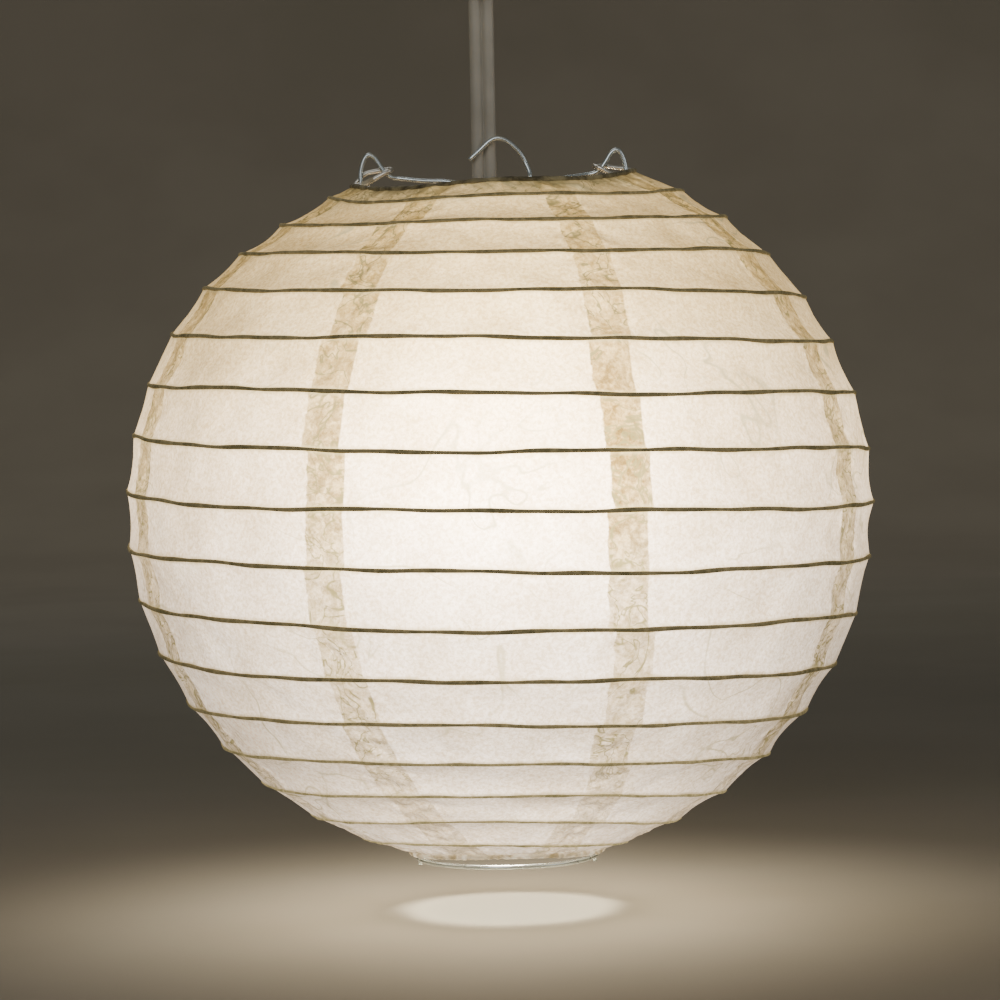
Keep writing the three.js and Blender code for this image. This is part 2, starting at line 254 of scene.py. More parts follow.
WHITE = rgb(255, 255, 255)
# doubled paper at the seams: a painted shade of the paper under it, mottled between these two
SEAM_DARK = rgb(197, 192, 170)
SEAM_PALE = rgb(237, 234, 222)


def paper_material(name):
    """Handmade paper, mottled and creased, with the bulb's light through it painted as a glow, and
    painted shade along its creases and ribs and where it is doubled or pasted.

    A clear absorbing coat stands in for the longer way that light takes slantwise through paper.
    """
    n = Nodes(name, Roughness=0.85, Coat_Weight=1.0, Coat_Roughness=1.0, Coat_IOR=1.15)
    n.shader.inputs["Coat Tint"].default_value = (0.192, 0.19, 0.187, 1.0)
    warmth = n.attribute("warmth")
    body = n.mix(warmth, rgb(255, 235, 215), rgb(255, 221, 158))
    cloud = n.noise(60.0, 5.0, distortion=0.5)
    body = n.mix(1.0, body, n.mix(n.ramp(cloud, 0.3, 0.7), rgb(235, 232, 224), WHITE), "MULTIPLY")
    grain = n.noise(1000.0, 4.0, distortion=0.4, roughness=0.75)
    body = n.mix(1.0, body, n.mix(n.ramp(grain, 0.32, 0.68), rgb(212, 205, 186), WHITE), "MULTIPLY")

    # painted shade along the creases: the paper is darker where it is creased
    fold = n.math("ABSOLUTE", n.math("SUBTRACT", n.noise(30.0, 2.0, distortion=1.1), 0.5))
    patch = n.ramp(n.noise(22.0, 2.0), 0.45, 0.62)
    crease = n.math("MULTIPLY", n.ramp(fold, 0.0, 0.014, 1.0, 0.0), patch)
    body = n.mix(n.math("MULTIPLY", crease, 0.8), body, rgb(168, 154, 114))

    # painted shade at the seams: doubled paper is darker for the light it holds back, in a mottle
    # of its own
    ragged = n.math("MULTIPLY", n.math("SUBTRACT", n.noise(260.0, 4.0), 0.5), 2.2)
    on_left = n.ramp(n.attribute("seam_side"), -1.0, 1.0, 1.0, 0.0)
    away = n.math("ADD", n.attribute("seam_offset"), n.math("MULTIPLY", ragged, on_left))
    seam = n.ramp(away, SEAM_WIDTH / 2 - 0.25, SEAM_WIDTH / 2 + 0.25, 1.0, 0.0)
    curl = n.math("ABSOLUTE", n.math("SUBTRACT", n.noise(95.0, 2.5, distortion=1.4), 0.5))
    rim = n.attribute("rim")
    pasted = n.math("MAXIMUM", seam, n.ramp(rim, 0.15, 0.6))
    wrinkle = n.math("MULTIPLY", n.ramp(curl, 0.0, 0.03, 1.0, 0.0), pasted)
    clump = n.math("ADD", n.noise(150.0, 5.0, distortion=1.2), n.noise(520.0, 4.0, distortion=0.8))
    mottle = n.ramp(clump, 0.76, 1.24)
    doubled = n.mix(mottle, SEAM_DARK, SEAM_PALE)
    # painted shade: doubled paper browner and darker where the painted glow is hot
    seam_shaded = n.mix(mottle, rgb(152, 139, 98), rgb(204, 194, 160))
    seam_shaded = n.mix(1.0, doubled, seam_shaded, "MULTIPLY")
    doubled = n.mix(n.attribute("seam_shade_over_bulb"), doubled, seam_shaded)
    # the seams' painted shade fades towards the bottom
    doubled = n.mix(n.attribute("fainter_below"), doubled, WHITE)
    body = n.mix(seam, body, n.mix(1.0, body, doubled, "MULTIPLY"))
    # painted shade in the wrinkles of the pasted paper, fainter towards the bottom
    faded = n.ramp(n.attribute("fainter_below"), 0.0, 0.4, 0.9, 0.35)
    body = n.mix(n.math("MULTIPLY", wrinkle, faded), body, rgb(122, 110, 68))

    # painted shadow of each bamboo rib on the paper over it, uneven along the rib
    rib = n.ramp(n.attribute("rib_offset"), 0.5, 1.5, 0.8, 0.0)
    rib = n.math("MULTIPLY", rib, n.ramp(n.noise(210.0, 3.0), 0.3, 0.7, 0.4, 1.0))
    body = n.mix(rib, body, rgb(170, 152, 108))

    # painted shade along the top and bottom edges, where the paper is doubled over the rings,
    # darkest right at the top edge under its hem; blotchy
    blotch_and_shade = n.ramp(n.noise(70.0, 5.0, distortion=1.4), 0.3, 0.7, 0.55, 1.0)
    body = n.mix(n.math("MULTIPLY", rim, blotch_and_shade), body, rgb(128, 116, 80))
    body = n.mix(n.math("MULTIPLY", n.attribute("edge"), blotch_and_shade), body, rgb(66, 60, 40))

    # the paper's colour is also its emission colour, for the painted glow of the bulb's light
    # through it
    n.colour(body, emission=True)
    n.link(n.attribute("painted_glow"), n.shader.inputs["Emission Strength"])
    height = n.math("ADD", n.math("MULTIPLY", grain, 0.5), n.math("MULTIPLY", crease, 0.8))
    n.bump(n.math("ADD", height, wrinkle), 0.5, 0.0002)
    return n.material


def hem_material(name, dark, pale, painted_glow):
    """Paper rolled and pasted round a wire: doubled many times, so little light comes through. That
    light is painted, as a blotchy glow of the given strength.
    """
    n = Nodes(name, Roughness=0.8)
    blotch_and_shade = n.noise(160.0, 5.0, distortion=1.2)
    n.colour(n.mix(n.ramp(blotch_and_shade, 0.3, 0.7), dark, pale), emission=True)
    n.link(n.ramp(blotch_and_shade, 0.3, 0.7, 0.2 * painted_glow, painted_glow), n.shader.inputs["Emission Strength"])
    n.bump(n.noise(420.0, 4.0, distortion=0.8), 0.6, 0.0003)
    return n.material


def bamboo_material():
    n = Nodes("bamboo", Roughness=0.7)
    length = n.noise(140.0, 4.0, distortion=0.5)
    streak = n.noise(700.0, 3.0)
    body = n.mix(n.ramp(length, 0.3, 0.7), rgb(94, 86, 56), rgb(126, 113, 78))
    body = n.mix(n.ramp(streak, 0.4, 0.75, 0.0, 0.5), body, rgb(158, 143, 104))
    # the bamboo's colour is also its emission: a painted glow
    n.colour(body, emission=True)
    n.link(n.attribute("painted_glow"), n.shader.inputs["Emission Strength"])
    n.bump(streak, 0.5, 0.0002)
    return n.material


def wire_material(name, colour, rough, metallic=1.0):
    n = Nodes(name, Metallic=metallic)
    spots = n.noise(90.0, 3.0)
    n.colour(n.mix(n.ramp(spots, 0.4, 0.8, 0.0, 0.35), colour, rgb(120, 116, 104)))
    n.link(n.ramp(spots, 0.2, 0.8, rough, rough + 0.12), n.shader.inputs["Roughness"])
    return n.material


def plastic_material(name, colour, shade, rough):
    n = Nodes(name, Specular_IOR_Level=0.4)
    cloud = n.noise(70.0, 4.0)
    n.colour(n.mix(n.ramp(cloud, 0.25, 0.75), colour, shade))
    n.link(n.ramp(cloud, 0.2, 0.8, rough, rough + 0.12), n.shader.inputs["Roughness"])
    n.bump(n.noise(900.0, 2.0), 0.12, 0.0001)
    return n.material


def brass_material():
    n = Nodes("brass", Metallic=1.0)
    tarnish = n.noise(180.0, 5.0)
    n.colour(n.mix(n.ramp(tarnish, 0.4, 0.7), rgb(206, 172, 108), rgb(138, 104, 58)))
    n.link(n.ramp(tarnish, 0.2, 0.8, 0.25, 0.5), n.shader.inputs["Roughness"])
    return n.material


def bulb_material():
    n = Nodes("bulb_glass", Roughness=0.25, Emission_Strength=2.5)
    cloud = n.noise(40.0, 3.0)
    n.colour(n.mix(n.ramp(cloud, 0.3, 0.7), rgb(255, 238, 206), rgb(255, 245, 224)), True)
    return n.material


PAPER = paper_material("paper")
# the same rolled paper painted dark and dim at the top and pale and bright at the bottom: painted
# shade and painted light; the tape's glow is painted too
SHADED_TOP_HEM = hem_material("shaded_top_hem", rgb(70, 64, 46), rgb(142, 132, 100), 0.12)
TAPE = hem_material("tape", rgb(160, 151, 126), rgb(206, 198, 174), 0.2)
LIT_BOTTOM_HEM = hem_material("lit_bottom_hem", rgb(176, 160, 124), rgb(226, 216, 196), 0.9)
BAMBOO = bamboo_material()
SPRING_WIRE = wire_material("spring_wire", rgb(216, 227, 230), 0.2, 0.8)
RING_WIRE = wire_material("ring_wire", rgb(226, 224, 214), 0.28, 0.8)
CORD = plastic_material("cord", rgb(184, 181, 170), rgb(168, 164, 152), 0.42)
PLASTIC = plastic_material("white_plastic", rgb(232, 229, 221), rgb(220, 216, 207), 0.38)
BRASS = brass_material()
SCREW = wire_material("screws", rgb(180, 180, 182), 0.3)
BULB = bulb_material()


# ---- meshes ----


def make_object(name, vertices, faces, material, normals=None):
    mesh = bpy.data.meshes.new(name)
    mesh.from_pydata([tuple(v) for v in vertices], [], [tuple(f) for f in faces])
    mesh.materials.append(material)
    mesh.shade_smooth()
    if normals is not None:
        mesh.normals_split_custom_set_from_vertices([tuple(v) for v in normals])
    obj = bpy.data.objects.new(name, mesh)
    bpy.context.scene.collection.objects.link(obj)
    return obj


def grid_faces(rows, columns, wrap_rows=False):
    """Quads over a grid of vertices stored row by row, each row a closed loop."""
    i = np.arange(rows if wrap_rows else rows - 1)
    i, j = np.meshgrid(i, np.arange(columns), indexing="ij")
    below, right = (i + 1) % rows, (j + 1) % columns
    corners = (i * columns + j, below * columns + j, below * columns + right, i * columns + right)
    return np.stack(corners, -1).reshape(-1, 4)


def store(obj, name, values):
    attribute = obj.data.attributes.new(name, "FLOAT", "POINT")
    attribute.data.foreach_set("value", np.asarray(values, np.float32).ravel())


def smooth_path(points, per_span):
    """A Catmull-Rom curve through given points, in millimetres."""
    p = np.array(points, float)
    p = np.vstack([2 * p[0] - p[1], p, 2 * p[-1] - p[-2]])
    out = []
    for k in range(1, len(p) - 2):
        for u in np.linspace(0, 1, per_span, endpoint=False):
            a, b, c, d = p[k - 1], p[k], p[k + 1], p[k + 2]
            cubic = 2 * b + (c - a) * u + (2 * a - 5 * b + 4 * c - d) * u**2
            out.append((cubic + (3 * b - a - 3 * c + d) * u**3) / 2)
    out.append(p[-2])
    return np.array(out)


def sweep(name, path, outline, material, round_ends=True):
    """A closed tube of the given outline, (side, up) pairs for each station."""
    path = np.array(path, float)
    tangent = np.gradient(path, axis=0)
    tangent /= np.linalg.norm(tangent, axis=1)[:, None]
    side = np.cross(tangent[0], (0.0, 0.31, 0.95))
    side /= np.linalg.norm(side)
    frames = []
    for t in tangent:
        side = side - t * side.dot(t)
        side /= np.linalg.norm(side)
        frames.append((side, np.cross(t, side)))
    rings = []
    for k, (place, (across, up)) in enumerate(zip(path, frames)):
        shape = outline(k)
        rings.append([place + across * a + up * b for a, b in shape])
    count = len(rings[0])
    if round_ends:
        for end, step in ((0, -1), (-1, 1)):
            tip = path[end] + tangent[end] * step * 0.45 * np.linalg.norm(rings[end][0] - path[end])
            cap = [tip + (np.array(v) - path[end]) * 0.72 for v in rings[end]]
            rings.insert(0 if end == 0 else len(rings), cap)
    vertices = np.array(rings).reshape(-1, 3)
    faces = [tuple(f) for f in grid_faces(len(rings), count)]
    faces.append(tuple(range(count)))
    faces.append(tuple(range(len(vertices) - 1, len(vertices) - 1 - count, -1)))
    return make_object(name, [at(*v) for v in vertices], faces, material)


def circle(radius, sides=14):
    angles = np.linspace(0, 2 * math.pi, sides, endpoint=False)
    return [(radius * math.cos(a), radius * math.sin(a)) for a in angles]


def wire(name, points, material):
    return sweep(name, smooth_path(points, 6), lambda k: circle(WIRE_RADIUS), material)


def lathe(name, profile, material, centre_x=0.0, closed=False):
    """A piece turned about a vertical axis, from (radius, height) corners, downwards outside."""
    profile = np.array(profile, float)
    segments = 96
    angles = np.linspace(0, 2 * math.pi, segments, endpoint=False)
    vertices = [
        at(centre_x + r * math.cos(a), r * math.sin(a), z) for r, z in profile for a in angles
    ]
    faces = [tuple(f) for f in grid_faces(len(profile), segments, wrap_rows=closed)]
    if not closed:
        faces.append(tuple(range(segments)))
        last = len(vertices)
        faces.append(tuple(range(last - 1, last - 1 - segments, -1)))
    obj = make_object(name, vertices, faces, material)
    bevel = obj.modifiers.new("edges", "BEVEL")
    bevel.width = 0.25 * MM
    bevel.segments = 3
    bevel.limit_method = "ANGLE"
    bevel.angle_limit = math.radians(28)
    return obj


def place(obj, body, slot, *replaced):
    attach(obj, body)
    if replaced:
        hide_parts(*replaced)
    return obj


# ---- the cord and the ceiling fitting ----


def cord_outline():
    """Two round cores side by side with a web between them."""
    core = CORD_THICKNESS / 2
    offset = CORD_WIDTH / 2 - core
    right = [
        (offset + core * math.cos(a), core * math.sin(a))
        for a in np.linspace(-0.88 * math.pi, 0.88 * math.pi, 22)
    ]
    return right + [(-x, -y) for x, y in right]


def make_cord():
    steps = 40
    heights = np.linspace(CORD_BOTTOM, CORD_TOP, steps)
    outline = cord_outline()
    rings = np.array([[(CORD_X + x, y, z) for x, y in outline] for z in heights])
    vertices = [at(*v) for v in rings.reshape(-1, 3)]
    count = len(outline)
    faces = [tuple(f)[::-1] for f in grid_faces(steps, count)]
    faces.append(tuple(range(count))[::-1])
    faces.append(tuple(range(len(vertices) - count, len(vertices))))
    cord = make_object("lamp_cord_visual", vertices, faces, CORD)
    place(cord, "hanger", "cord", "lamp_cord")
    return cord, [list(at(CORD_X, 0, z)) for z in heights]


def make_fitting():
    top = MOUNT_HEIGHT
    cover = [
        (ROSE_RADIUS - 2, top),
        (ROSE_RADIUS, top),
        (ROSE_RADIUS, ROSE_BOTTOM + 11),
        (ROSE_RADIUS - 0.9, ROSE_BOTTOM + 7.6),
        (ROSE_RADIUS - 3, ROSE_BOTTOM + 5),
        (16, ROSE_BOTTOM + 1.2),
        (6, ROSE_BOTTOM),
        (6, ROSE_BOTTOM + 2.2),
        (15, ROSE_BOTTOM + 3.2),
        (ROSE_RADIUS - 5, ROSE_BOTTOM + 7),
        (ROSE_RADIUS - 2, ROSE_BOTTOM + 11.6),
    ]
    cover = lathe("rose_cover_visual", cover, PLASTIC, closed=True)
    place(cover, "ceiling_fitting", "white_plastic", "rose_cover")
    plate = [(ROSE_RADIUS - 3, top), (ROSE_RADIUS - 3, top - 2.5)]
    plate = lathe("ceiling_plate_visual", plate, PLASTIC)
    place(plate, "ceiling_fitting", "white_plastic", "ceiling_plate")
    grip = [
        (5.6, ROSE_BOTTOM - 0.3),
        (6.6, ROSE_BOTTOM - 0.9),
        (6.2, ROSE_BOTTOM - 3.4),
        (5.5, ROSE_BOTTOM - 3.6),
        (5.3, CORD_TOP - 0.4),
        (5.0, CORD_TOP - 1),
        (4.7, CORD_TOP - 1),
        (4.3, CORD_TOP + 1.2),
    ]
    grip = lathe("cord_grip_visual", grip, PLASTIC, CORD_X)
    place(grip, "ceiling_fitting", "white_plastic", "cord_grip")
    for name in ("rose_screw_left", "rose_screw_right"):
        frame["nodes"][name].data.materials.clear()
        frame["nodes"][name].data.materials.append(SCREW)
    frame["nodes"]["terminal_block"].data.materials.clear()
    frame["nodes"]["terminal_block"].data.materials.append(PLASTIC)
    inner = [frame["nodes"][n] for n in ("rose_screw_left", "rose_screw_right", "terminal_block")]
    return [grip, cover, plate, *inner]


cord, cord_path = make_cord()
fitting_pieces = make_fitting()

# ---- the shade's surface ----


def meridian():
    """Length down the shade's surface from the top ring, with the ellipse's angle there."""
    first = math.asin(TOP_RING_Z / SHADE_HALF_HEIGHT)
    last = math.asin(BOTTOM_RING_Z / SHADE_HALF_HEIGHT)
    angle = np.linspace(first, last, 4000)
    r, z = SHADE_RADIUS * np.cos(angle), SHADE_HALF_HEIGHT * np.sin(angle)
    run = np.concatenate([[0.0], np.cumsum(np.hypot(np.diff(r), np.diff(z)))])
    return run, angle


RUN, ANGLE = meridian()
ALL_TURNS = (math.sqrt(RIB_PITCH**2 + 4 * PITCH_GROWTH * RUN[-1]) - RIB_PITCH) / (2 * PITCH_GROWTH)


def smooth_step(value, low, high):
    share = np.clip((np.asarray(value, float) - low) / (high - low), 0, 1)
    return share * share * (3 - 2 * share)


def settle(x, y, z):
    """How much higher than an even shade a place hangs, in millimetres."""
    near_ring = smooth_step(-z, 86, -BOTTOM_RING_Z)
    rise = BOTTOM_SLACK * (1 - (1 - BOTTOM_RING_SHARE) * near_ring) * smooth_step(-z, 25, 80)
    rise = rise - TOP_SLACK * smooth_step(z, 45, 95)
    lean = (TOP_LEAN * x - TOP_DROP) * smooth_step(z, 55, 92)
    squared = x * x + y * y
    dip = TOP_DIP * (2 * x * y / squared) ** 2 * smooth_step(z, 70, 92)
    return rise * y * y / squared + lean - dip


def shade_at(turns):
    """Radius, height, and the outward normal's two parts, a number of turns down the shade."""
    turns = np.asarray(turns, float)
    angle = np.interp(turns * RIB_PITCH + turns**2 * PITCH_GROWTH, RUN, ANGLE)
    nr, nz = np.cos(angle) / SHADE_RADIUS, np.sin(angle) / SHADE_HALF_HEIGHT
    size = np.hypot(nr, nz)
    return SHADE_RADIUS * np.cos(angle), SHADE_HALF_HEIGHT * np.sin(angle), nr / size, nz / size


def rib_wander(t):
    """How far the hand-bent coil strays up or down from an even one, in turns."""
    t = np.asarray(t, float)
    fade = np.clip((t - 0.2) * 4, 0, 1) * np.clip((RIB_TURNS - t) * 4, 0, 1)
    waves = [(0.020, 3.3, 0.2), (0.014, 7.7, 0.6), (0.008, 17.3, 0.0), (0.004, 31.7, 0.0)]
    stray = sum(size * np.sin(2 * math.pi * (rate * t + start)) for size, rate, start in waves)
    return fade * stray


def panel(turns, azimuth):
    """Each place's share of the way from the rib above to the rib below, with both ribs' turns."""
    start = ((azimuth - RIB_START) / 360) % 1.0
    above_index = np.floor(turns - start)
    upper = above_index + start
    lower = upper + 1
    upper = upper + rib_wander(upper)
    lower = lower + rib_wander(lower)
    # a wandering rib can pass the place it should lie under
    high = turns < upper
    upper, lower = np.where(high, upper - 1, upper), np.where(high, upper, lower)
    low = turns > lower
    upper, lower = np.where(low, lower, upper), np.where(low, lower + 1, lower)
    first = RING_MARGIN
    upper = np.where(upper < first, 0.0, upper)
    lower = np.where(lower < first, lower + 1, lower)
    lower = np.where(lower > RIB_TURNS + TAIL, ALL_TURNS, lower)
    upper = np.where(upper > RIB_TURNS + TAIL, upper - 1, upper)
    share = np.clip((turns - upper) / (lower - upper), 0, 1)
    return share, upper, lower


def vector_noise(points, scale, octaves=3):
    return np.array([noise.fractal(Vector(p) * scale, 0.8, 2.1, octaves) for p in points])


def seam_azimuths(turns):
    top, middle, bottom = np.array(SEAMS).T
    down = (turns[..., None] - RIB_TURNS / 2) / (RIB_TURNS / 2 - 1)
    return middle + (bottom - top) / 2 * down + ((top + bottom) / 2 - middle) * down**2


SAG = 0.85
COLLAR_WRINKLE = 0.55
SEAM_CRUMPLE = 0.6


def paper_grid():
    """The whole shade's outer surface, row by row, with its normals and its masks."""
    edge = 0.03
    upper_rows = np.linspace(edge, 0.5, 9)
    middle = np.arange(0.5, RIB_TURNS, 1 / ROWS_PER_TURN)[1:]
    lower_rows = np.linspace(RIB_TURNS, ALL_TURNS - edge, 6)
    turns = np.concatenate([upper_rows, middle[middle < RIB_TURNS - 1e-6], lower_rows])
    azimuth = np.arange(COLUMNS) * 360 / COLUMNS
    t, a = np.meshgrid(turns, azimuth, indexing="ij")
    share, upper, lower = panel(t, a)
    r, z, nr, nz = shade_at(t)
    rad = np.radians(a)
    x, y = r * np.cos(rad), r * np.sin(rad)
    flat = np.stack([x, y, z + settle(x, y, z)], -1)
    offsets = (a[..., None] - seam_azimuths(t) + 180) % 360 - 180
    nearest = np.argmin(np.abs(offsets), axis=-1)
    seam = np.take_along_axis(offsets, nearest[..., None], -1)[..., 0]
    # each sheet was pasted between one pair of ribs at a time, so its edge steps a little
    step = np.sin(nearest * 2.1 + np.floor(upper + 0.5) * 1.7) + np.sin(np.floor(upper + 0.5) * 4.3)
    seam = np.radians(seam) * r + 0.7 * step
    small = vector_noise(flat.reshape(-1, 3), 0.11).reshape(t.shape)
    fine = vector_noise(flat.reshape(-1, 3), 0.26).reshape(t.shape)
    crumple = vector_noise(flat.reshape(-1, 3), 0.034, 2).reshape(t.shape)
    span = np.minimum((lower - upper), 1.0)
    sag = SAG * 4 * share * (1 - share) * span**2 * (1 + 0.8 * crumple)
    crease = 0.28 * np.maximum(0, 0.16 - np.abs(crumple)) / 0.16
    from_end = np.minimum(t, ALL_TURNS - t)
    collar = np.clip(1 - from_end / 0.7, 0, 1)
    pleats = np.sin(rad * 31 + 5 * crumple) + 0.6 * np.sin(rad * 53 + 8 * small)
    height = 0.12 * small - sag - crease * share * (1 - share) * 2
    between = np.sin(math.pi * share) ** 0.5
    height = height + COLLAR_WRINKLE * 0.35 * collar * pleats * between
    height = height + SEAM_CRUMPLE * fine * np.exp(-((seam / 8) ** 2)) * between
    surface = flat + height[..., None] * np.stack([nr * np.cos(rad), nr * np.sin(rad), nz], -1)

    down = np.gradient(surface, axis=0)
    wrapped = np.concatenate([surface[:, -1:], surface, surface[:, :1]], axis=1)
    round_ = (wrapped[:, 2:] - wrapped[:, :-2]) / 2
    normal = np.cross(down, round_)
    normal /= np.linalg.norm(normal, axis=-1)[..., None]

    # painted glow: brighter in a band at the bulb's height and towards the bottom
    painted_glow = 0.78 + 0.22 * np.exp(-(((z - GLOW_Z) / 48) ** 2)) + 0.4 * smooth_step(-z, 60, 92)
    # the bulb shows through at the front, the back and both sides, where it is looked at squarely:
    # a painted hot spot
    squarely = 0.12 + 0.88 * np.abs(np.cos(2 * rad)) ** 3
    painted_glow = painted_glow + HOT_GLOW * squarely * np.exp(-(((z - GLOW_Z) / 34) ** 2))
    # painted shade: doubled paper is painted browner over the bulb's painted hot spot, most of all
    # at the front and the back
    seam_shade_over_bulb = 0.35 + 0.65 * smooth_step(-np.cos(2 * rad), -0.3, 0.3)
    seam_shade_over_bulb = seam_shade_over_bulb * np.clip((painted_glow - 0.9) / 0.95, 0, 0.9)
    low_rim = 0.6 * np.clip(1 - (ALL_TURNS - t) / 0.4, 0, 1) ** 1.5
    masks = {
        "seam_offset": np.abs(seam) * (1 + 0.25 * np.clip(1 - t / 4, 0, 1)),
        "seam_side": seam,
        "rib_offset": np.minimum(np.abs(t - upper), np.abs(lower - t)) * RIB_PITCH,
        "rim": np.maximum(0.8 * np.clip(1 - t / 1.1, 0, 1), low_rim),
        "edge": 0.95 * np.clip(1 - t / 0.45, 0, 1) ** 1.3,
        "fainter_below": 0.45 * smooth_step(-z, 55, 90),
        "warmth": smooth_step(z, -42, 85),
        "painted_glow": GLOW * painted_glow,
        "seam_shade_over_bulb": seam_shade_over_bulb,
    }
    return turns, surface, normal, masks


def paper_slab(name, grid, first, last):
    """The closed slab of paper between two rows of the grid."""
    turns, surface, normal, masks = grid
    rows = slice(first, last + 1)
    outer, out_normal = surface[rows], normal[rows]
    inner = outer - out_normal * PAPER_THICKNESS
    count = outer.shape[0] * COLUMNS
    # the outside runs down, then the inside back up, and the loop of rows closes on itself
    loop = np.concatenate([outer, inner[::-1]]).reshape(-1, 3)
    normals = np.concatenate([out_normal, -out_normal[::-1]]).reshape(-1, 3)
    faces = grid_faces(2 * outer.shape[0], COLUMNS, wrap_rows=True)
    obj = make_object(name, [at(*v) for v in loop], faces, PAPER, normals)
    for mask, values in masks.items():
        part = values[rows]
        inside = part[::-1] * (INSIDE_GLOW if mask == "painted_glow" else 1.0)
        store(obj, mask, np.concatenate([part, inside]))
    return obj


def rib_piece(name, first, last):
    """A length of the bamboo coil, as it wanders."""
    steps = max(6, int((last - first) * 220))
    t = np.linspace(first, last, steps + 1)
    angle = np.radians(RIB_START + 360 * t)
    r, z, nr, nz = shade_at(t + rib_wander(t))
    depth = -0.05
    x, y = (r + nr * depth) * np.cos(angle), (r + nr * depth) * np.sin(angle)
    path = np.stack([x, y, z + nz * depth + settle(x, y, z)], -1)
    # the lowest turns are thinner, and more light comes through the paper over them, so their
    # painted glow is stronger
    low = smooth_step(-z, 40, 96)
    thick = RIB_RADIUS * (1 + 0.12 * np.sin(t * 97) + 0.08 * np.sin(t * 231 + 1) - 0.4 * low)
    piece = sweep(name, path, lambda k: circle(thick[k], 10), BAMBOO, False)
    store(piece, "painted_glow", np.repeat(0.42 + 1.5 * low, 10))
    return piece


def make_shade():
    grid = paper_grid()
    turns = grid[0]

    def row(value):
        return int(np.argmin(np.abs(turns - value)))

    collar = paper_slab("paper_top_collar_visual", grid, 0, row(0.5))
    place(collar, "hanger", "paper", "paper_top_collar")
    start = rib_piece("bamboo_start", RING_MARGIN, 0.5)
    place(start, "hanger", "bamboo", "rib_turn_01")
    for turn in range(1, RIB_TURNS + 1):
        first, last = turn - 0.5, min(turn + 0.5, RIB_TURNS)
        edge = len(turns) - 1 if turn == RIB_TURNS else row(last)
        paper = paper_slab(f"paper_slab_{turn:02d}", grid, row(first), edge)
        bamboo = rib_piece(f"bamboo_{turn:02d}", first, last)
        for piece, slot, node in (
            (paper, "paper", f"paper_band_{turn:02d}"),
            (bamboo, "bamboo", f"rib_turn_{turn:02d}"),
        ):
            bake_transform(piece)
            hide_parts(node)
    tail = rib_piece("bamboo_tail", RIB_TURNS, RIB_TURNS + TAIL)
    place(tail, "shade_bottom", "bamboo", "rib_tail")


make_shade()


# ---- rings, hems and ears ----


def arc(radius, start, end, steps, z):
    angles = np.radians(np.linspace(start, end, steps + 1))
    return [(radius * math.cos(a), radius * math.sin(a), z) for a in angles]


def ring_arc(radius, start, end, steps, z):
    return [(x, y, z + float(settle(x, y, z))) for x, y, z in arc(radius, start, end, steps, z)]


def top_ring_path(radius):
    def ear(side, turns_from):
        ring_z = TOP_RING_Z + float(settle(side * radius, 0, TOP_RING_Z))
        wires = [
            (radius - 1.6, (ring_z + EAR_ROOT_Z) / 2, EAR_RISE * 0.6),
            (radius - 4, EAR_ROOT_Z, EAR_RISE),
            (EAR_TIP_X + 1.6, EAR_TIP_Z - 0.3, TIP_RISE),
        ]

        def half(way):
            return [(side * x, way * EAR_HALF_WIDTH, z + way * rise) for x, z, rise in wires]

        bend = [
            (side * (EAR_TIP_X + 0.4), turns_from * 1.4, EAR_TIP_Z + turns_from * TIP_RISE * 0.6),
            (side * EAR_TIP_X, 0, EAR_TIP_Z),
            (side * (EAR_TIP_X + 0.4), -turns_from * 1.4, EAR_TIP_Z - turns_from * TIP_RISE * 0.6),
        ]
        return half(turns_from) + bend + half(-turns_from)[::-1]

    gap = 0.25
    return (
        ring_arc(radius, 90 + gap, 175, 7, TOP_RING_Z)
        + ear(-1, 1)
        + ring_arc(radius, 185, 355, 14, TOP_RING_Z)
        + ear(1, -1)
        + ring_arc(radius, 365, 450 - gap, 7, TOP_RING_Z)
    )


def hem_roll(name, radius, z, start, end, thick, material):
    """Paper rolled round a ring wire, creased and uneven."""
    steps = int((end - start) * 1.2)
    path = np.array(ring_arc(radius, start, end, steps, z))
    lumps = vector_noise(path, 0.25, 4)

    def outline(k):
        k = min(k, steps)
        ring = []
        for i, (x, y) in enumerate(circle(1.0, 16)):
            crease = noise.noise(Vector(path[k]) * 0.9 + Vector((0, 0, i * 0.8)))
            size = thick * (1 + 0.22 * lumps[k] + 0.2 * crease)
            ring.append((x * size, y * size))
        return ring

    return sweep(name, path, outline, material)


